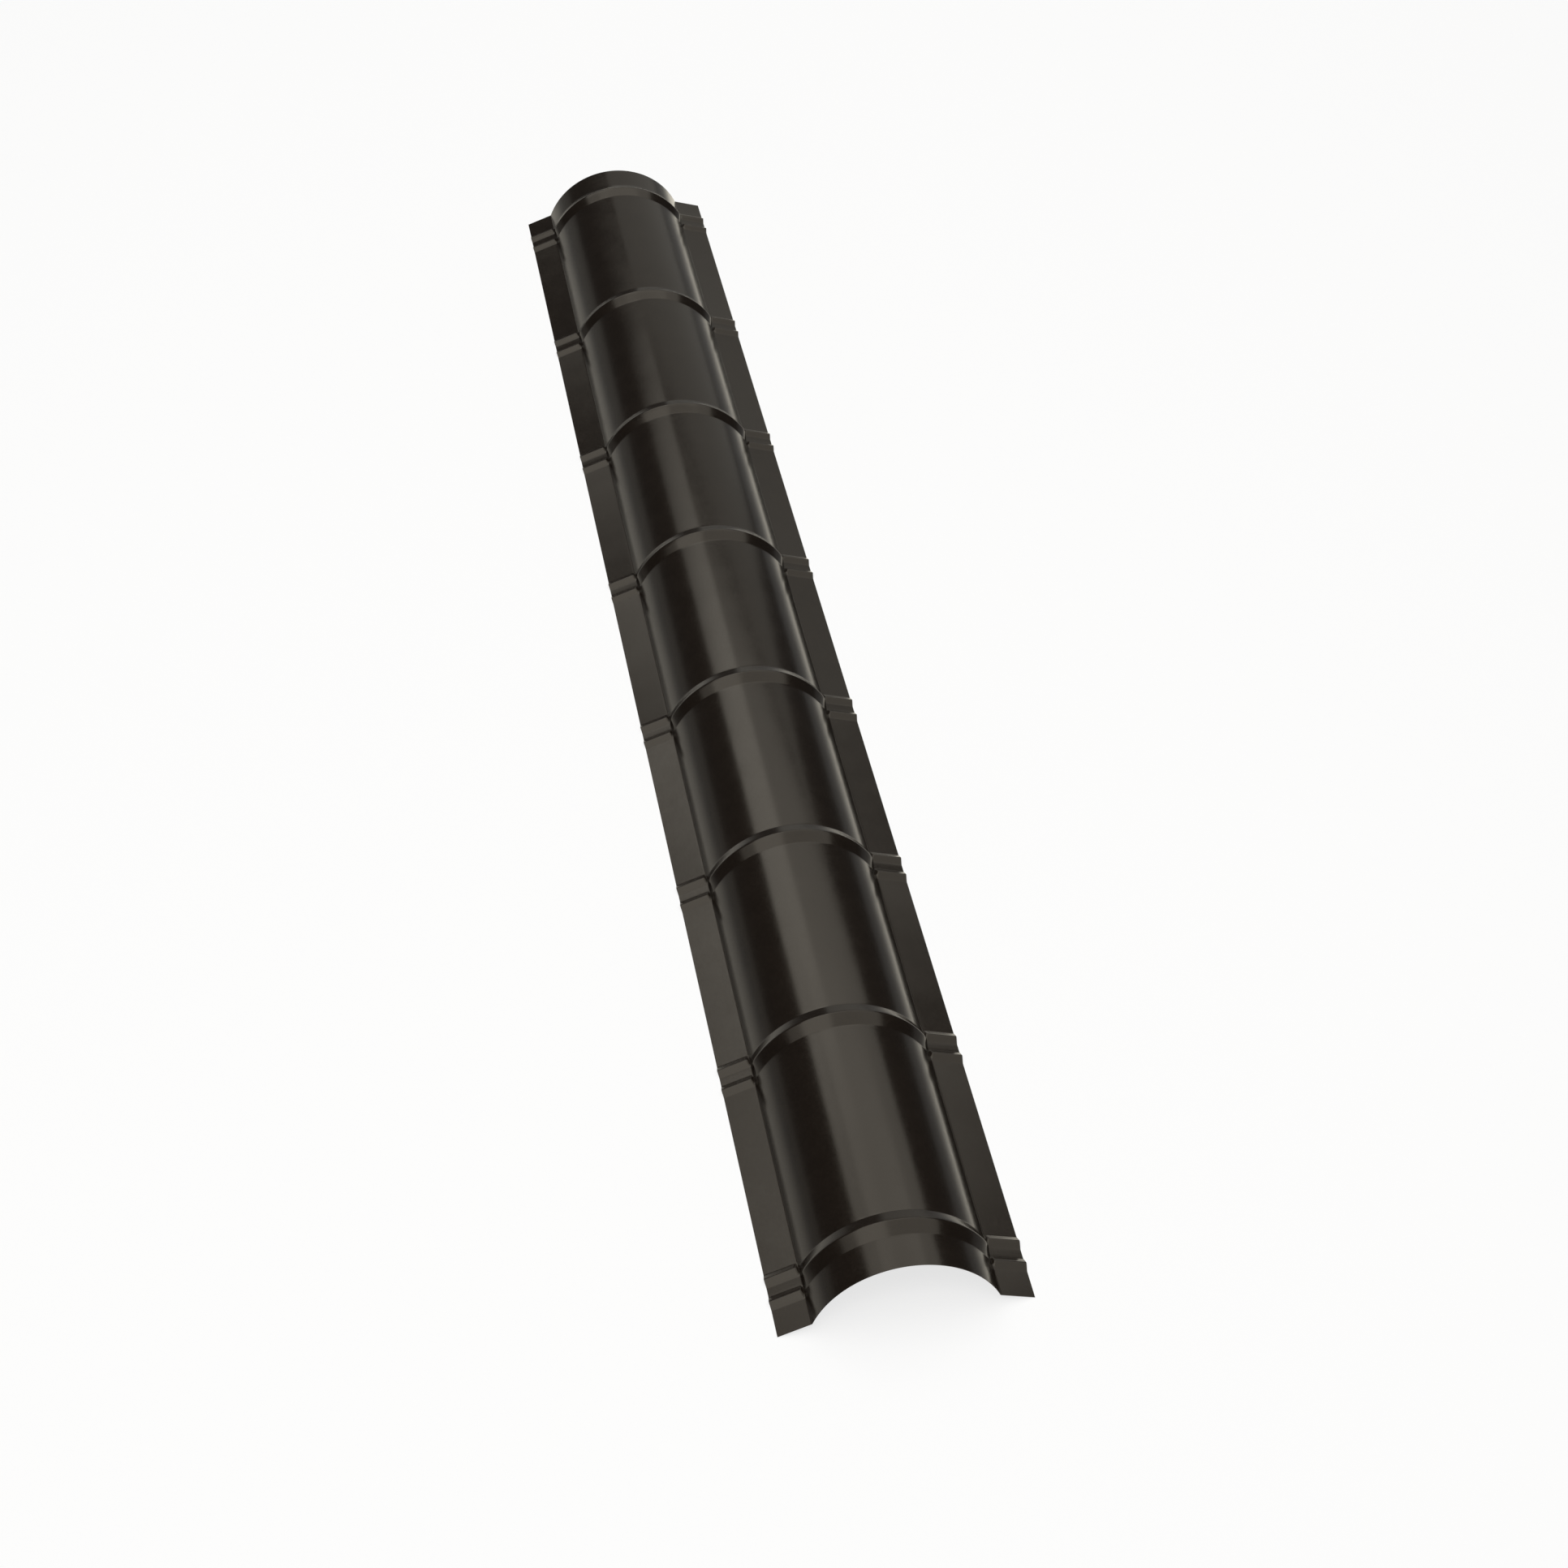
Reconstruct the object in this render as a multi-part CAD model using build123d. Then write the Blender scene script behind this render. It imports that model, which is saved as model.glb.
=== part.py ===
"""Half-round roof ridge cap, pressed from one strip of painted sheet steel.

The row frame is in millimetres: +Y runs along the ridge, +X across it and +Z up.
The origin is the middle of the length and of the width, at the level of the two
long outer edges that the cap rests on.
"""
from build123d import *

import math
import os
from dataclasses import dataclass

# Length along the ridge
MODULE = 270.4  # from the crest of one rib to the next
RIB_COUNT = 8
FAR_END = 55.2  # plain end beyond the last crest, towards +Y
NEAR_END = 52.0  # plain end before the first crest, towards -Y

# Cross-section, all on the painted outer face
SHEET = 0.5  # steel strip with its paint
CROWN_RADIUS = 93.4
CROWN_HEIGHT = 69.2  # top of the crown above the resting edges
OVERALL_WIDTH = 236.6  # between the outer edges of the two flanges
FLANGE_SLOPE = 18.3  # degrees, down and outwards
CORNER_RADIUS = 3.5  # hollow bend between crown and flange

# Rib over the crown
RIB_HEIGHT = 4.5
RIB_HALF_WIDTH = 14.2
RIB_CREST_HALF_WIDTH = 1.2
RIB_RUN_OUT = 14.0  # over which the rib comes down to the corner at either end

# Pair of crimps across each flange, which meet the corner at the feet of the rib
CRIMP_HEIGHT = 3.3
CRIMP_HALF_WIDTH = 7.7
CRIMP_CREST_HALF_WIDTH = 0.9
CRIMP_RUN_OUT = 4.0  # over which a crimp comes down to the corner


@dataclass(frozen=True)
class Ridge:
    """Profile of a pressed ridge: straight sides up to a narrow crest."""

    height: float
    half_width: float
    crest_half_width: float

    def rise(self, distance):
        """Height at a distance from the middle."""
        inside = self.half_width - abs(distance)
        side_width = self.half_width - self.crest_half_width
        return self.height * max(0.0, min(1.0, inside / side_width))

    def breaks(self):
        """Distances from the middle at which the profile bends, from foot to foot."""
        out = self.crest_half_width, self.half_width
        return -out[1], -out[0], out[0], out[1]


RIB = Ridge(RIB_HEIGHT, RIB_HALF_WIDTH, RIB_CREST_HALF_WIDTH)
CRIMP = Ridge(CRIMP_HEIGHT, CRIMP_HALF_WIDTH, CRIMP_CREST_HALF_WIDTH)
CRIMP_OFFSET = RIB_HALF_WIDTH - CRIMP_CREST_HALF_WIDTH  # from the rib to either crimp


def arc_middle(start, tangent, end):
    """Middle of the arc that leaves start along tangent and bends down to end."""
    chord = end - start
    turn = math.radians(chord.get_angle(tangent))
    return start + chord / 2 + Vector(-chord.Y, chord.X) * (math.tan(turn / 2) / 2)


def face_points(crown_lift, flange_lift, depth):
    """Right half of one face of the sheet, as eight points in the X-Z plane.

    depth is 0 on the outer face and the sheet's thickness on the inner one. The
    points are the flange's outer edge, the end of its crimp, the bend's start, middle
    and end, the middle and end of the rib's run-out, and the top of the crown. The
    bend stays where it is, so that the corner is straight from end to end.
    """
    slope = math.radians(FLANGE_SLOPE)
    inward = Vector(-math.cos(slope), math.sin(slope))
    normal = Vector(math.sin(slope), math.cos(slope))
    centre = Vector(0, CROWN_HEIGHT - CROWN_RADIUS)
    edge = Vector(OVERALL_WIDTH / 2, SHEET * math.cos(slope))
    # the bend's centre lies above the flange and outside the crown
    start = edge + normal * CORNER_RADIUS - centre
    along = start.dot(inward)
    gap = start.dot(start) - (CROWN_RADIUS + CORNER_RADIUS) ** 2
    bend = centre + start + inward * (-along - math.sqrt(along**2 - gap))
    to_crown = (centre - bend).normalized()
    to_middle = (to_crown - normal).normalized()
    bend_radius = CORNER_RADIUS + depth
    bend_start = bend - normal * bend_radius
    bend_end = bend + to_crown * bend_radius
    # the rib keeps its height up to the shoulder
    shoulder = math.atan2(-to_crown.X, -to_crown.Y) - RIB_RUN_OUT / CROWN_RADIUS
    radius = CROWN_RADIUS + crown_lift - depth
    run_start = centre + Vector(math.sin(shoulder), math.cos(shoulder)) * radius
    run_tangent = Vector(math.cos(shoulder), -math.sin(shoulder))
    return (
        edge + normal * (flange_lift - depth),
        bend_start - inward * CRIMP_RUN_OUT + normal * flange_lift,
        bend_start,
        bend + to_middle * bend_radius,
        bend_end,
        arc_middle(run_start, run_tangent, bend_end),
        run_start,
        centre + Vector(0, radius),
    )


def face_edges(points, station):
    """Edges of one face of the sheet from right to left, on the plane y = station."""

    def place(point, side):
        return Vector(side * point.X, station, point.Y)

    right = [place(point, 1) for point in points]
    left = [place(point, -1) for point in points]
    return [
        Edge.make_line(right[0], right[1]),
        Edge.make_line(right[1], right[2]),
        Edge.make_three_point_arc(right[2], right[3], right[4]),
        Edge.make_three_point_arc(right[4], right[5], right[6]),
        Edge.make_three_point_arc(right[6], right[7], left[6]),
        Edge.make_three_point_arc(left[6], left[5], left[4]),
        Edge.make_three_point_arc(left[4], left[3], left[2]),
        Edge.make_line(left[2], left[1]),
        Edge.make_line(left[1], left[0]),
    ]


def section(station, crown_lift=0.0, flange_lift=0.0):
    """Closed outline of the sheet's cross-section at y = station."""
    outer = face_edges(face_points(crown_lift, flange_lift, 0.0), station)
    inner = face_edges(face_points(crown_lift, flange_lift, SHEET), station)
    ends = [
        Edge.make_line(outer[0] @ 0, inner[0] @ 0),
        Edge.make_line(outer[-1] @ 1, inner[-1] @ 1),
    ]
    return Wire(outer + inner + ends)


def pressed_sections(crest):
    """Sections through one rib and its crimps, with the rib's crest at y = crest."""
    breaks = set(RIB.breaks())
    for side in (-CRIMP_OFFSET, CRIMP_OFFSET):
        breaks.update(side + distance for distance in CRIMP.breaks())
    return [
        section(crest + d, RIB.rise(d), CRIMP.rise(abs(d) - CRIMP_OFFSET))
        for d in sorted({round(distance, 3) for distance in breaks})
    ]


def ridge_cap():
    """The whole cap, lofted from end to end with straight runs between its sections."""
    length = NEAR_END + (RIB_COUNT - 1) * MODULE + FAR_END
    sections = [section(-length / 2)]
    for index in range(RIB_COUNT):
        sections += pressed_sections(NEAR_END + index * MODULE - length / 2)
    sections.append(section(length / 2))
    return Solid.make_loft(sections, ruled=True)


os.makedirs("parts", exist_ok=True)
cap = ridge_cap()
cap.label = "ridge_cap"
export_step(cap, "parts/ridge_cap.step")
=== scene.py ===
"""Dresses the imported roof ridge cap: one pressed strip of dark painted sheet steel.

Lengths are in metres in the part's own frame: +Y along the ridge, +X across it and
+Z up, with the two long outer edges of the flanges on the floor at z = 0.
"""

import logging
import math
from collections.abc import Callable, Iterable
from dataclasses import dataclass, field
from enum import Enum
from typing import ClassVar, NamedTuple

import bmesh
import bpy
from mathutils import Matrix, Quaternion, Vector


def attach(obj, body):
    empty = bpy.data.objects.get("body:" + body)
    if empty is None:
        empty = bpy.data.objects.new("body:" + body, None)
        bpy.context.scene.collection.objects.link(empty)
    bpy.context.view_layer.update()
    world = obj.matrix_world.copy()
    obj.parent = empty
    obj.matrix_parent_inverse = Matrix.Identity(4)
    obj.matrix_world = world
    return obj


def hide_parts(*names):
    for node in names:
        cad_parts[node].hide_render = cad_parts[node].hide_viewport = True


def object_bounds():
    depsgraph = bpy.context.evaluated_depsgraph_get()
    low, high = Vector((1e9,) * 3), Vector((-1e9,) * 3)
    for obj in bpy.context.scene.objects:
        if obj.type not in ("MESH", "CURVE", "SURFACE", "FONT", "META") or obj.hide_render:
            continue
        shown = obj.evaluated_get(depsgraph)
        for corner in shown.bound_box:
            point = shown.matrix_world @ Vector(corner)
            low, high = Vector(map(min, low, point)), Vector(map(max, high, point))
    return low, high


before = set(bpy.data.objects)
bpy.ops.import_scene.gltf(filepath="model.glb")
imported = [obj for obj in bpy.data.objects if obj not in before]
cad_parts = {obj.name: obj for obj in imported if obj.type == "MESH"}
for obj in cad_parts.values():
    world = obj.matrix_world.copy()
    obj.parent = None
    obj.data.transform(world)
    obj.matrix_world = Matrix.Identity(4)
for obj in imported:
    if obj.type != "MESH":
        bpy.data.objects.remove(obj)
CAD_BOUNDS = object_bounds()
CAD_HALF_WIDTH = CAD_BOUNDS[1][0]

log = logging.getLogger("ridge_cap")

MM = 0.001
PHOTO_PIXELS = 1932  # across the photo that the focal length is measured on

Triple = tuple[float, float, float]


class Side(Enum):
    """The two slopes of the roof that the cap covers."""

    RIGHT = 1
    LEFT = -1


@dataclass(frozen=True)
class Ridge:
    """Profile of a pressed ridge: straight sides, a round crest and hollow feet."""

    height: float
    half_width: float
    crest_radius: float
    foot_radius: float

    # Where the crest is cut, from its middle at 0 to a side at 1
    CREST_CUTS: ClassVar[tuple[float, ...]] = (0.0, 0.5, 1.0)
    # Where a foot is cut, from the side at -1 to the plain sheet at 1
    FOOT_CUTS: ClassVar[tuple[float, ...]] = (-1.0, -0.4, 0.4, 1.0)

    @property
    def slope(self) -> float:
        """Angle of the sides in radians."""
        drop = self.height - self.crest_radius
        reach = math.hypot(self.half_width, drop)
        return math.atan2(drop, self.half_width) + math.asin(self.crest_radius / reach)

    @property
    def crest_end(self) -> float:
        """Distance from the middle to where the round crest meets a side."""
        return self.crest_radius * math.sin(self.slope)

    @property
    def foot_reach(self) -> float:
        """Length of the hollow on each side of the foot."""
        return self.foot_radius * math.tan(self.slope / 2)

    def rise(self, distance: float) -> float:
        """Height of the profile.

        Args:
            distance: distance from the middle of the ridge.

        Returns:
            The height above the plain sheet.
        """
        distance = abs(distance)
        into_foot = self.half_width + self.foot_reach - distance
        if distance < self.crest_end:
            drop = self.height - self.crest_radius
            return drop + math.sqrt(self.crest_radius**2 - distance**2)
        if into_foot <= 0:
            return 0.0
        if into_foot < 2 * self.foot_reach:
            return self.foot_radius - math.sqrt(self.foot_radius**2 - into_foot**2)
        return (self.half_width - distance) * math.tan(self.slope)

    def stations(self) -> list[float]:
        """Distances from the middle at which the sheet is cut to take the profile."""
        crest = [self.crest_end * share for share in self.CREST_CUTS]
        foot = [self.half_width + self.foot_reach * share for share in self.FOOT_CUTS]
        side = [(crest[-1] + foot[0]) / 2]
        out = crest + side + foot
        return sorted({-distance for distance in out} | set(out))


class Hands:
    """Selection and edit-mode helpers for a mesh that is shaped by operators."""

    @staticmethod
    def clear() -> None:
        """Deselect everything, since operators act on all that is selected."""
        bpy.ops.object.select_all(action="DESELECT")

    @staticmethod
    def take(obj: bpy.types.Object) -> None:
        """Make an object the only selected and the active one."""
        Hands.clear()
        obj.select_set(True)
        bpy.context.view_layer.objects.active = obj

    @staticmethod
    def pick(obj: bpy.types.Object, wanted: Callable[[Vector], bool]) -> None:
        """Select only the vertices that pass a test.

        Args:
            obj: the object in edit mode.
            wanted: the test on a vertex's place.
        """
        mesh = bmesh.from_edit_mesh(obj.data)
        for parts in (mesh.verts, mesh.edges, mesh.faces):
            for part in parts:
                part.select = False
        for vert in mesh.verts:
            if wanted(vert.co):
                vert.select = True
        mesh.select_flush(True)
        bmesh.update_edit_mesh(obj.data)

    @staticmethod
    def place_in_mesh(obj: bpy.types.Object) -> None:
        """Apply the object's place, so that it sits at the origin unturned."""
        Hands.take(obj)
        bpy.ops.object.transform_apply(location=True, rotation=True, scale=True)


@dataclass(frozen=True)
class Section:
    """Cross-section of the sheet's painted face, and the places that follow from it."""

    crown_radius: float
    crown_height: float
    overall_width: float
    flange_slope: float
    corner_radius: float
    sheet: float

    @property
    def axis(self) -> Vector:
        """Axis that the crown bends round, at y = 0."""
        return Vector((0.0, 0.0, self.crown_height - self.crown_radius))

    def normal(self, side: Side) -> Vector:
        """Upward normal of a flange."""
        slope = self.flange_slope
        return Vector((side.value * math.sin(slope), 0.0, math.cos(slope)))

    def outward(self, side: Side) -> Vector:
        """Direction down a flange, from the bend to its outer edge."""
        slope = self.flange_slope
        return Vector((side.value * math.cos(slope), 0.0, -math.sin(slope)))

    def outer_edge(self, side: Side) -> Vector:
        """Place of a flange's outer edge on the painted face, at y = 0."""
        height = self.sheet * math.cos(self.flange_slope)
        return Vector((side.value * self.overall_width / 2, 0.0, height))

    def bend_centre(self, side: Side) -> Vector:
        """Centre of the hollow bend that joins a flange to the crown.

        Args:
            side: which flange.

        Returns:
            The centre in the plane y = 0.
        """
        outward = self.outward(side)
        above = self.normal(side) * self.corner_radius
        start = self.outer_edge(side) + above - self.axis
        reach = self.crown_radius + self.corner_radius
        along = start.dot(outward)
        inward = along - math.sqrt(along**2 - start.dot(start) + reach**2)
        return self.axis + start - outward * inward

    def bend_start(self, side: Side) -> Vector:
        """Place where the flat of a flange ends and its bend begins, at y = 0."""
        return self.bend_centre(side) - self.normal(side) * self.corner_radius

    @property
    def crown_angle(self) -> float:
        """Angle from the top of the crown to where either bend begins."""
        return self.angle_round_crown(self.bend_centre(Side.RIGHT))

    @property
    def bend_angle(self) -> float:
        """Angle that the sheet turns through in either bend."""
        return self.crown_angle - self.flange_slope

    @property
    def flange_width(self) -> float:
        """Width of the flat of a flange, from its outer edge to the bend."""
        return (self.outer_edge(Side.RIGHT) - self.bend_start(Side.RIGHT)).length

    def angle_round_crown(self, place: Vector) -> float:
        """Angle of a place from the top of the crown, the same on both sides."""
        return math.atan2(abs(place.x), place.z - self.axis.z)

    def reach_on_flange(self, place: Vector) -> float:
        """Distance of a place from the bend, down the flange on its own side."""
        side = Side.RIGHT if place.x > 0 else Side.LEFT
        from_bend = Vector((place.x, 0.0, place.z)) - self.bend_start(side)
        return from_bend.dot(self.outward(side))


class Socket:
    """Wraps a shader socket, so that maths on values reads as an expression."""

    def __init__(self, bench: "Bench", socket: bpy.types.NodeSocket | None) -> None:
        """Keep the socket and the bench that adds nodes beside it."""
        self.bench = bench
        self.socket = socket

    def maths(self, operation: str, other: "Socket | float") -> "Socket":
        """Add a Math node on this value and another."""
        return self.bench.node(
            "ShaderNodeMath", {"operation": operation}, {0: self, 1: other}
        )

    def __add__(self, other: "Socket | float") -> "Socket":
        """Sum of the two."""
        return self.maths("ADD", other)

    def __sub__(self, other: "Socket | float") -> "Socket":
        """Difference of the two."""
        return self.maths("SUBTRACT", other)

    def __mul__(self, other: "Socket | float") -> "Socket":
        """Product of the two."""
        return self.maths("MULTIPLY", other)


class Grain(NamedTuple):
    """How fine a noise is: features to a metre, and finer layers on top."""

    scale: float
    detail: float


class Bench:
    """Adds and links the nodes of one node tree."""

    # Sockets of a colour Mix node, whose other inputs and outputs share their names
    MIX_SHARE, MIX_FIRST, MIX_SECOND, MIX_RESULT = 0, 6, 7, 2

    def __init__(self, tree: bpy.types.NodeTree) -> None:
        """Start on a tree with its nodes removed."""
        self.tree = tree
        tree.nodes.clear()

    @classmethod
    def material(cls, name: str) -> tuple[bpy.types.Material, "Bench"]:
        """New material, with an empty bench for its nodes."""
        made = bpy.data.materials.new(name)
        made.use_nodes = True
        return made, cls(made.node_tree)

    def node(
        self, kind: str, settings: dict[str, object], values: dict[str | int, object]
    ) -> Socket:
        """Add a node.

        Args:
            kind: the node's type.
            settings: its properties, set before its sockets.
            values: numbers, colours or links for its sockets, by name or index.

        Returns:
            The node's first enabled output, or an empty wrapper if it has none.
        """
        made = self.tree.nodes.new(kind)
        for name, value in settings.items():
            setattr(made, name, value)
        for key, value in values.items():
            if isinstance(value, Socket):
                self.tree.links.new(value.socket, made.inputs[key])
            else:
                made.inputs[key].default_value = value
        outputs = [out for out in made.outputs if out.enabled]
        return Socket(self, outputs[0] if outputs else None)

    def output(self, source: Socket, name: str | int) -> Socket:
        """Another output of the node that a wrapped socket belongs to."""
        return Socket(self, source.socket.node.outputs[name])

    def place(self) -> Socket:
        """Place of the shaded point in its object's own frame."""
        return self.output(self.node("ShaderNodeTexCoord", {}, {}), "Object")

    def stretched(self, place: Socket, scale: Triple) -> Socket:
        """A place scaled by its own factor along each axis."""
        return self.node("ShaderNodeMapping", {}, {"Vector": place, "Scale": scale})

    def noise(self, place: Socket, grain: Grain) -> Socket:
        """Noise from 0 to 1 at a place."""
        return self.node(
            "ShaderNodeTexNoise",
            {},
            {"Vector": place, "Scale": grain.scale, "Detail": grain.detail},
        )

    def blend(self, share: Socket, first: Triple, second: Triple) -> Socket:
        """Colour between a first one at a share of 0 and a second one at 1."""
        values = {
            self.MIX_SHARE: share,
            self.MIX_FIRST: (*first, 1.0),
            self.MIX_SECOND: (*second, 1.0),
        }
        mix = self.node("ShaderNodeMix", {"data_type": "RGBA"}, values)
        return self.output(mix, self.MIX_RESULT)

    def surface(self, shader: Socket) -> None:
        """End the material's tree with its surface."""
        self.node("ShaderNodeOutputMaterial", {}, {"Surface": shader})


@dataclass(frozen=True)
class CoilPaint:
    """Dark brown satin coil paint on the weather face of the sheet."""

    name: str = "dark_brown_coil_paint"
    brown: Triple = (0.0055, 0.0036, 0.0025)
    brown_light: Triple = (0.0155, 0.0108, 0.0080)
    gloss_tint: Triple = (1.0, 0.94, 0.88)
    ior: float = 1.5
    roughness: float = 0.19
    roughness_spread: float = 0.09
    mottle: Grain = Grain(300.0, 3.0)
    mottle_share: float = 0.6
    cloud: Grain = Grain(38.0, 2.0)
    peel: Grain = Grain(520.0, 2.0)
    peel_height: float = 0.02 * MM
    wave: Grain = Grain(1.0, 1.0)
    wave_stretch: Triple = (9.0, 11.0, 9.0)
    wave_height: float = 0.4 * MM

    def material(self) -> bpy.types.Material:
        """Build the paint: mottle, orange peel and the slow waves of thin sheet."""
        made, bench = Bench.material(self.name)
        place = bench.place()
        shade = bench.noise(place, self.mottle) * self.mottle_share
        shade += bench.noise(place, self.cloud) * (1 - self.mottle_share)
        smoothest = self.roughness - self.roughness_spread
        waves = bench.noise(bench.stretched(place, self.wave_stretch), self.wave)
        height = bench.noise(place, self.peel) * self.peel_height
        height += waves * self.wave_height
        bump = bench.node(
            "ShaderNodeBump", {}, {"Strength": 1.0, "Distance": 1.0, "Height": height}
        )
        paint = bench.node(
            "ShaderNodeBsdfPrincipled",
            {},
            {
                "Base Color": bench.blend(shade, self.brown, self.brown_light),
                "Roughness": shade * (2 * self.roughness_spread) + smoothest,
                "Normal": bump,
                "Specular Tint": (*self.gloss_tint, 1.0),
                "IOR": self.ior,
            },
        )
        bench.surface(paint)
        return made


@dataclass(frozen=True)
class BackCoat:
    """Thin grey backing coat on the underside of coil-painted sheet."""

    name: str = "grey_backing_coat"
    grey: Triple = (0.19, 0.19, 0.18)
    grey_light: Triple = (0.23, 0.23, 0.22)
    roughness: float = 0.5
    streak: Grain = Grain(1.0, 2.0)
    streak_stretch: Triple = (300.0, 3.0, 300.0)

    def material(self) -> bpy.types.Material:
        """Build the backing coat with its faint roller streaks along the strip."""
        made, bench = Bench.material(self.name)
        streaks = bench.noise(
            bench.stretched(bench.place(), self.streak_stretch), self.streak
        )
        coat = bench.node(
            "ShaderNodeBsdfPrincipled",
            {},
            {
                "Base Color": bench.blend(streaks, self.grey, self.grey_light),
                "Roughness": self.roughness,
            },
        )
        bench.surface(coat)
        return made


@dataclass
class PressedSheet:
    """The cap itself: a flange, a bend, the crown, a bend and a flange in one strip."""

    section: Section = Section(
        crown_radius=93.4 * MM,
        crown_height=69.2 * MM,
        overall_width=236.6 * MM,
        flange_slope=math.radians(18.3),
        corner_radius=1.0 * MM,
        sheet=0.5 * MM,
    )
    rib: Ridge = Ridge(
        height=4.5 * MM,
        half_width=14.2 * MM,
        crest_radius=4.0 * MM,
        foot_radius=2.5 * MM,
    )
    rib_run_out: float = 14.0 * MM
    crimp: Ridge = Ridge(
        height=3.3 * MM,
        half_width=7.7 * MM,
        crest_radius=3.0 * MM,
        foot_radius=3.5 * MM,
    )
    crimp_run_out: float = 4.0 * MM
    crimp_offset: float = 13.3 * MM
    module: float = 270.4 * MM
    rib_count: int = 8
    far_end: float = 55.2 * MM
    near_end: float = 52.0 * MM
    bend_steps: int = 5
    rib_run_out_steps: int = 7
    crimp_run_out_steps: int = 4
    crown_steps: int = 50
    least_strip: float = 0.15 * MM  # nearer cuts than this are made as one
    slack: float = 0.02 * MM  # within which a vertex counts as at a place
    weld: float = 0.01 * MM  # within which the modules' edges are joined
    smooth_below: float = math.radians(40.0)
    paint: CoilPaint = field(default_factory=CoilPaint)
    back: BackCoat = field(default_factory=BackCoat)

    @property
    def length(self) -> float:
        """Overall length."""
        return self.near_end + (self.rib_count - 1) * self.module + self.far_end

    @property
    def run_out_angle(self) -> float:
        """Angle round the crown over which the rib comes down to the bend."""
        return self.rib_run_out / self.section.crown_radius

    def run_out_radius(self, lift: float, share: float) -> float:
        """Reach of the rib where it comes down to the bend in one round arc.

        Args:
            lift: height of the rib above the crown at its shoulder.
            share: 0 at the shoulder and 1 where the bend begins.

        Returns:
            The distance from the crown's axis.
        """
        low = self.section.crown_radius
        high = low + lift
        turn = self.run_out_angle
        chord_squared = low**2 + high**2 - 2 * low * high * math.cos(turn)
        arc = chord_squared / (2 * (high - low * math.cos(turn)))
        off = high - arc
        angle = turn * share
        return off * math.cos(angle) + math.sqrt(arc**2 - (off * math.sin(angle)) ** 2)

    def run_out_rise(self, lift: float, reach: float) -> float:
        """Height of a crimp whose end is rounded down to the bend.

        Args:
            lift: full height of the crimp.
            reach: distance from the bend, down the flange.

        Returns:
            The height above the flat of the flange.
        """
        short = max(0.0, 1 - reach / self.crimp_run_out)
        return lift * math.sqrt(1 - short**2)

    def stations(self) -> list[float]:
        """Distances from the rib's crest at which the strip is cut on either side."""
        wanted = set(self.rib.stations())
        crimp_cuts = self.crimp.stations()
        wanted.update(self.crimp_offset + distance for distance in crimp_cuts)
        kept: list[float] = []
        for distance in sorted(wanted):
            if distance >= 0 and (not kept or distance - kept[-1] > self.least_strip):
                kept.append(distance)
        return kept

    def build(self) -> bpy.types.Object:
        """Model the cap, put it on the part's body and hide the imported part.

        Returns:
            The finished object, riding on the part's one body.
        """
        obj = self._flange_strip()
        self._turn_section(obj)
        self._cut_strip()
        for distance in self.stations():
            self._press_rib(obj, distance)
            self._press_crimps(obj, distance)
        self._repeat()
        self._cut_ends()
        bpy.ops.object.mode_set(mode="OBJECT")
        self._thicken(obj)
        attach(obj, "root")
        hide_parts("ridge_cap")
        return obj

    def _flange_strip(self) -> bpy.types.Object:
        """Lay the right flange of one module as a plane and pull it to length."""
        section = self.section
        width = section.flange_width
        middle = (section.outer_edge(Side.RIGHT) + section.bend_start(Side.RIGHT)) / 2
        Hands.clear()
        bpy.ops.mesh.primitive_plane_add(
            size=width, location=middle, rotation=(0.0, section.flange_slope, 0.0)
        )
        obj = bpy.context.object
        obj.name = "ridge_cap_sheet"
        obj.data.name = "ridge_cap_sheet"
        Hands.place_in_mesh(obj)
        bpy.ops.object.mode_set(mode="EDIT")
        bpy.ops.mesh.select_mode(type="VERT")
        for way in (-1, 1):
            Hands.pick(obj, lambda co: co.y * way > 0)
            pull = way * (self.module - width) / 2
            bpy.ops.transform.translate(value=(0.0, pull, 0.0))
        return obj

    def _turn_section(self, obj: bpy.types.Object) -> None:
        """Spin the flange's edge round the bends and the crown, then run it out."""
        section = self.section
        run_out = self.run_out_angle
        between = 2 * (section.crown_angle - run_out)
        Hands.pick(obj, lambda co: abs(section.reach_on_flange(co)) < self.slack)
        turns = (
            (section.bend_centre(Side.RIGHT), section.bend_angle, self.bend_steps),
            (section.axis, -run_out, self.rib_run_out_steps),
            (section.axis, -between, self.crown_steps),
            (section.axis, -run_out, self.rib_run_out_steps),
            (section.bend_centre(Side.LEFT), section.bend_angle, self.bend_steps),
        )
        for centre, angle, steps in turns:
            # spin turns the left-hand way about its axis
            bpy.ops.mesh.spin(
                steps=steps, angle=-angle, center=centre, axis=(0.0, 1.0, 0.0)
            )
        flange = section.outward(Side.LEFT) * section.flange_width
        bpy.ops.mesh.extrude_region_move(TRANSFORM_OT_translate={"value": flange})

    def _cut_strip(self) -> None:
        """Cut the strip along for the ends of the crimps and across at each station."""
        section = self.section
        cuts = [
            (Vector((0.0, way * distance, 0.0)), Vector((0.0, 1.0, 0.0)))
            for distance in self.stations()
            for way in (-1, 1)
        ]
        for side in Side:
            outward = section.outward(side)
            for step in range(1, self.crimp_run_out_steps + 1):
                reach = self.crimp_run_out * step / self.crimp_run_out_steps
                cuts.append((section.bend_start(side) + outward * reach, outward))
        for place, normal in cuts:
            bpy.ops.mesh.select_all(action="SELECT")
            bpy.ops.mesh.bisect(plane_co=place, plane_no=normal)

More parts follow.
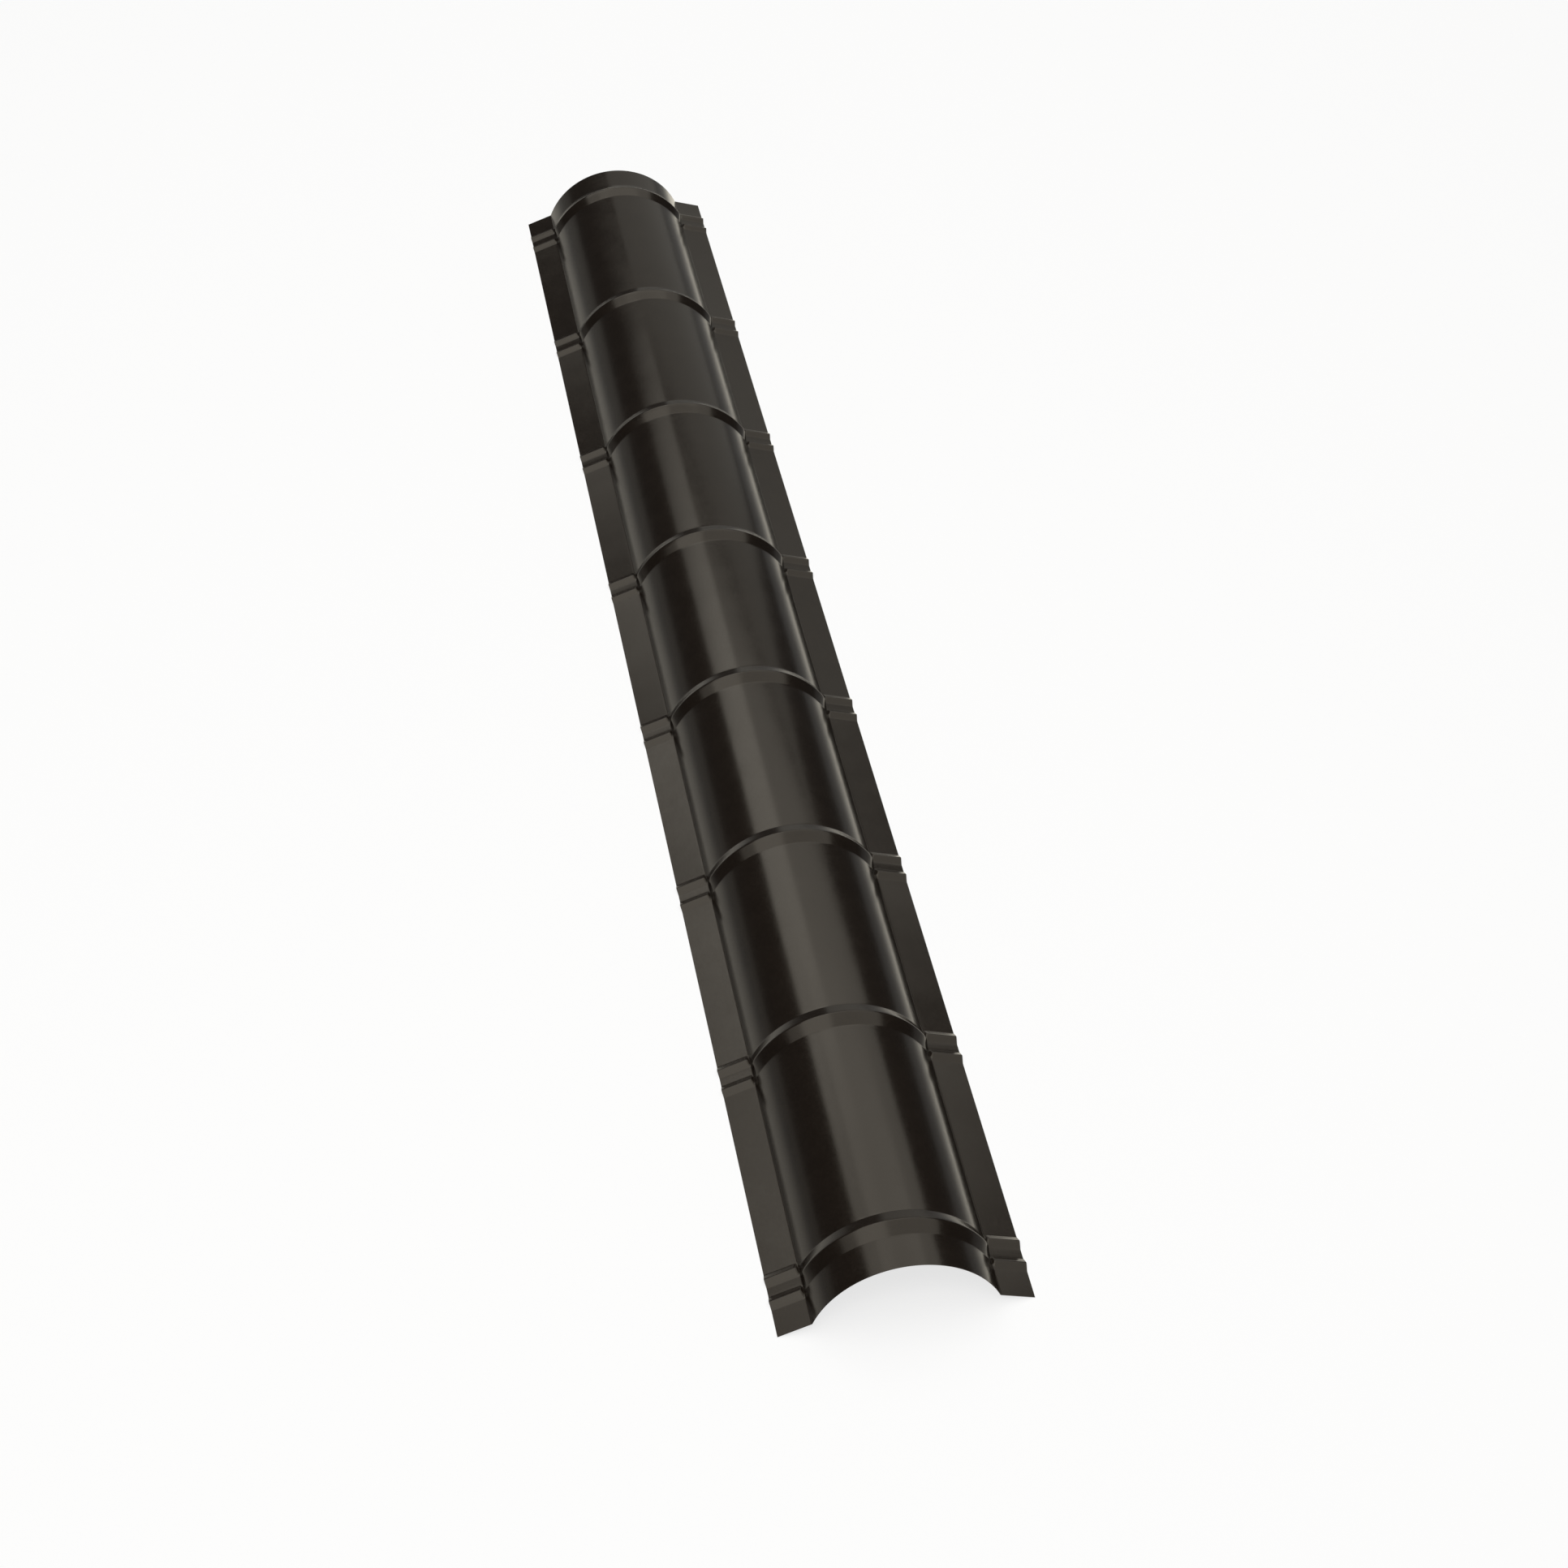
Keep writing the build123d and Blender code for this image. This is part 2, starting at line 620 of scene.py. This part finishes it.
    def _press_rib(self, obj: bpy.types.Object, distance: float) -> None:
        """Press the crown out at one distance either side of the rib's crest.

        Args:
            obj: the strip, in edit mode.
            distance: distance of the pair of stations from the crest.
        """
        section = self.section
        lift = self.rib.rise(distance)
        if lift <= 0:
            return
        steps = self.rib_run_out_steps
        shoulder = section.crown_angle - self.run_out_angle
        angle_slack = self.slack / section.crown_radius
        for step in range(steps):
            high = shoulder + self.run_out_angle * step / steps
            # the first step takes all of the crown up to the shoulder
            low = high if step else 0.0
            least, most = low - angle_slack, high + angle_slack
            scale = self.run_out_radius(lift, step / steps) / section.crown_radius
            Hands.pick(
                obj,
                lambda co: abs(abs(co.y) - distance) < self.slack
                and least < section.angle_round_crown(co) < most,
            )
            bpy.ops.transform.resize(
                value=(scale, 1.0, scale), center_override=section.axis
            )

    def _press_crimps(self, obj: bpy.types.Object, distance: float) -> None:
        """Press both flanges up at one distance either side of the rib's crest.

        Args:
            obj: the strip, in edit mode.
            distance: distance of the pair of stations from the crest.
        """
        section = self.section
        lift = self.crimp.rise(distance - self.crimp_offset)
        if lift <= 0:
            return
        steps = self.crimp_run_out_steps
        for side in Side:
            for step in range(1, steps + 1):
                low = self.crimp_run_out * step / steps
                # the last step takes all of the flange beyond the run-out
                high = low if step < steps else section.flange_width
                least, most = low - self.slack, high + self.slack
                Hands.pick(
                    obj,
                    lambda co: abs(abs(co.y) - distance) < self.slack
                    and co.x * side.value > 0
                    and least < section.reach_on_flange(co) < most,
                )
                rise = self.run_out_rise(lift, low)
                bpy.ops.transform.translate(value=section.normal(side) * rise)

    def _repeat(self) -> None:
        """Copy the module along the ridge and join the copies at their shared edges."""
        start = self.near_end - self.length / 2
        bpy.ops.mesh.select_all(action="SELECT")
        bpy.ops.transform.translate(value=(0.0, start, 0.0))
        for _ in range(self.rib_count - 1):
            bpy.ops.mesh.duplicate_move(
                TRANSFORM_OT_translate={"value": (0.0, self.module, 0.0)}
            )
        bpy.ops.mesh.select_all(action="SELECT")
        bpy.ops.mesh.remove_doubles(threshold=self.weld)

    def _cut_ends(self) -> None:
        """Saw the strip square at both ends."""
        for way in (-1, 1):
            bpy.ops.mesh.select_all(action="SELECT")
            bpy.ops.mesh.bisect(
                plane_co=(0.0, way * self.length / 2, 0.0),
                plane_no=(0.0, float(way), 0.0),
                clear_outer=True,
            )

    def _thicken(self, obj: bpy.types.Object) -> None:
        """Give the painted face its steel below, coat both faces and smooth them."""
        Hands.take(obj)
        top = max(obj.data.polygons, key=lambda face: face.center.z)
        if top.normal.z < 0:
            bpy.ops.object.mode_set(mode="EDIT")
            bpy.ops.mesh.select_all(action="SELECT")
            bpy.ops.mesh.flip_normals()
            bpy.ops.object.mode_set(mode="OBJECT")
        obj.data.materials.append(self.paint.material())
        obj.data.materials.append(self.back.material())
        shell = obj.modifiers.new("sheet thickness", "SOLIDIFY")
        shell.thickness = self.section.sheet
        shell.offset = -1.0
        shell.use_even_offset = True
        shell.material_offset = 1
        bpy.ops.object.modifier_apply(modifier=shell.name)
        bpy.ops.object.shade_smooth_by_angle(angle=self.smooth_below)


@dataclass(frozen=True)
class Panel:
    """Soft rectangular lamp, where a radiance of 1 is a white card in plain light."""

    name: str
    middle: Triple
    size: tuple[float, float]
    radiance: float
    faces_cap: bool = False
    warmth: Triple = (1.0, 0.975, 0.88)

    def hang(self) -> None:
        """Add the lamp, level and facing down, or turned to face the cap."""
        data = bpy.data.lights.new(self.name, "AREA")
        data.shape = "RECTANGLE"
        data.size, data.size_y = self.size
        data.energy = self.radiance * math.pi * self.size[0] * self.size[1]
        data.color = self.warmth
        made = bpy.data.objects.new(self.name, data)
        bpy.context.scene.collection.objects.link(made)
        made.location = self.middle
        made.visible_camera = False
        if self.faces_cap:
            made.rotation_euler = Vector(self.middle).to_track_quat("Z", "Y").to_euler()


@dataclass(frozen=True)
class Sheen:
    """Painted light: a glow painted on the floor beside one flank of the cap, seen only in
    its gloss, as a pool of light that no lamp casts.
    """

    side: Side
    strength: float
    fade: float

    def at(self, bench: Bench, across: Socket) -> Socket:
        """Brightness of the painted glow at a place, falling away from the flange's edge.

        Args:
            bench: the floor's nodes.
            across: the place across the cap.

        Returns:
            The brightness, which is none on the other side.
        """
        out = across * self.side.value
        fall = (out - CAD_HALF_WIDTH) * (-1 / self.fade)
        near = bench.node(
            "ShaderNodeMath", {"operation": "EXPONENT", "use_clamp": True}, {0: fall}
        )
        return near * out.maths("GREATER_THAN", 0.0) * self.strength


@dataclass(frozen=True)
class Studio:
    """Plain pale floor, soft lamps and the camera at the photograph's angle."""

    target: Triple = (20.333 * MM, -246.67 * MM, 0.0)
    azimuth: float = -0.1518
    elevation: float = 0.7026
    roll: float = -0.0346
    distance: float = 3373.4 * MM
    focal_pixels: float = 3839.8
    sensor: float = 36.0
    far_clip: float = 100.0
    floor_colour: Triple = (0.255, 0.26, 0.28)
    floor_glow: float = 0.75
    floor_corners: int = 96
    # Colour of the painted glow on the floor beside the cap, seen only in the paint's
    # reflections
    sheen_warmth: Triple = (1.0, 0.94, 0.79)
    sheens: tuple[Sheen, ...] = (
        Sheen(Side.RIGHT, strength=1.3, fade=28.0 * MM),
        Sheen(Side.LEFT, strength=0.5, fade=160.0 * MM),
    )
    room_radius: float = 13.0
    room_glow: float = 0.05
    room_segments: int = 48
    # Panels that overlap add up
    panels: tuple[Panel, ...] = (
        Panel("ceiling", (1.07, 0.787, 4.0), (7.34, 9.195), 0.95),
        Panel("ceiling middle", (0.7, 2.9, 4.06), (3.8, 1.3), 0.45),
        Panel("ceiling back left", (-1.353, 5.08, 4.02), (2.644, 3.64), 0.73),
        Panel("ceiling left", (-2.382, -1.003, 4.04), (4.493, 6.037), 0.7),
        Panel(
            "low back right",
            (1.236, 3.631, 1.137),
            (2.447, 2.145),
            0.37,
            faces_cap=True,
        ),
        Panel("low left", (-2.7, 2.6, 0.3), (3.4, 0.6), 0.2, faces_cap=True),
        Panel("front key", (-0.4, -2.9, 3.6), (3.0, 1.2), 3.2, faces_cap=True),
    )

    def camera(self) -> None:
        """Place the camera and make it the scene's own."""
        turn, lift = self.azimuth, self.elevation
        back = Vector(
            (
                math.sin(turn) * math.cos(lift),
                -math.cos(turn) * math.cos(lift),
                math.sin(lift),
            )
        )
        data = bpy.data.cameras.new("camera")
        data.sensor_fit = "HORIZONTAL"
        data.sensor_width = self.sensor
        data.lens = self.focal_pixels * self.sensor / PHOTO_PIXELS
        data.clip_end = self.far_clip
        made = bpy.data.objects.new("camera", data)
        bpy.context.scene.collection.objects.link(made)
        made.location = Vector(self.target) + back * self.distance
        roll = Quaternion((0.0, 0.0, 1.0), self.roll)
        made.rotation_euler = (back.to_track_quat("Z", "Y") @ roll).to_euler()
        bpy.context.scene.camera = made

    def floor(self) -> None:
        """Lay the floor, which looks white and still takes the cap's soft shadow, with a
        painted glow beside the cap that only reflections show.
        """
        Hands.clear()
        bpy.ops.mesh.primitive_circle_add(
            vertices=self.floor_corners, radius=self.room_radius, fill_type="NGON"
        )
        obj = bpy.context.object
        obj.name = "floor"
        made, bench = Bench.material("pale_floor")
        across = bench.node("ShaderNodeSeparateXYZ", {}, {"Vector": bench.place()})
        # Painted light: the floor glows beside each flank of the cap, fading from the
        # flange's edge, and only glossy rays see it
        right, left = (sheen.at(bench, across) for sheen in self.sheens)
        sheen_glow_colour = bench.node(
            "ShaderNodeVectorMath",
            {"operation": "SCALE"},
            {"Vector": self.sheen_warmth, "Scale": right + left},
        )
        rays = bench.node("ShaderNodeLightPath", {}, {})
        glossy = bench.output(rays, "Is Glossy Ray")
        seen = bench.output(rays, "Is Camera Ray")
        seen += bench.output(rays, "Is Transmission Ray")
        colour = (*self.floor_colour, 1.0)
        matt = bench.node("ShaderNodeBsdfDiffuse", {}, {"Color": colour})
        glow = seen * self.floor_glow
        white = bench.node("ShaderNodeEmission", {}, {"Strength": glow})
        painted_sheen_glow = bench.node("ShaderNodeEmission", {}, {"Color": sheen_glow_colour, "Strength": glossy})
        pale = bench.node("ShaderNodeAddShader", {}, {0: matt, 1: white})
        bench.surface(bench.node("ShaderNodeAddShader", {}, {0: pale, 1: painted_sheen_glow}))
        made.cycles.emission_sampling = "NONE"
        obj.data.materials.append(made)

    def room(self) -> None:
        """Put the dim walls round the set that keep the low reflections dark."""
        Hands.clear()
        bpy.ops.mesh.primitive_uv_sphere_add(
            segments=self.room_segments,
            ring_count=self.room_segments // 2,
            radius=self.room_radius,
        )
        obj = bpy.context.object
        obj.name = "dim_room"
        bpy.ops.object.mode_set(mode="EDIT")
        bpy.ops.mesh.select_all(action="SELECT")
        bpy.ops.mesh.bisect(
            plane_co=(0.0, 0.0, 0.0), plane_no=(0.0, 0.0, 1.0), clear_inner=True
        )
        bpy.ops.object.mode_set(mode="OBJECT")
        made, bench = Bench.material("dim_wall")
        dim = bench.node("ShaderNodeEmission", {}, {"Strength": self.room_glow})
        bench.surface(dim)
        made.cycles.emission_sampling = "NONE"
        obj.data.materials.append(made)
        obj.visible_camera = False
        obj.visible_transmission = False

    def world(self) -> None:
        """Set a pale backdrop above the floor that throws no light of its own."""
        made = bpy.data.worlds.new("white_backdrop")
        bpy.context.scene.world = made
        made.use_nodes = True
        bench = Bench(made.node_tree)
        rays = bench.node("ShaderNodeLightPath", {}, {})
        seen = bench.output(rays, "Is Camera Ray") + bench.output(rays, "Is Glossy Ray")
        seen += bench.output(rays, "Is Transmission Ray")
        sky = bench.node("ShaderNodeBackground", {}, {"Strength": seen})
        bench.node("ShaderNodeOutputWorld", {}, {"Surface": sky})

    def light(self) -> None:
        """Set every lamp in its dim room."""
        self.world()
        self.room()
        for panel in self.panels:
            panel.hang()


def main() -> None:
    """Build the cap, then the floor, lamps and camera round it."""
    logging.basicConfig(level=logging.INFO, format="%(message)s")
    cap = PressedSheet().build()
    log.info("%s: %d faces", cap.name, len(cap.data.polygons))
    studio = Studio()
    studio.floor()
    studio.light()
    studio.camera()
    bpy.context.scene.view_settings.view_transform = "Standard"


if __name__ == "__main__":
    main()
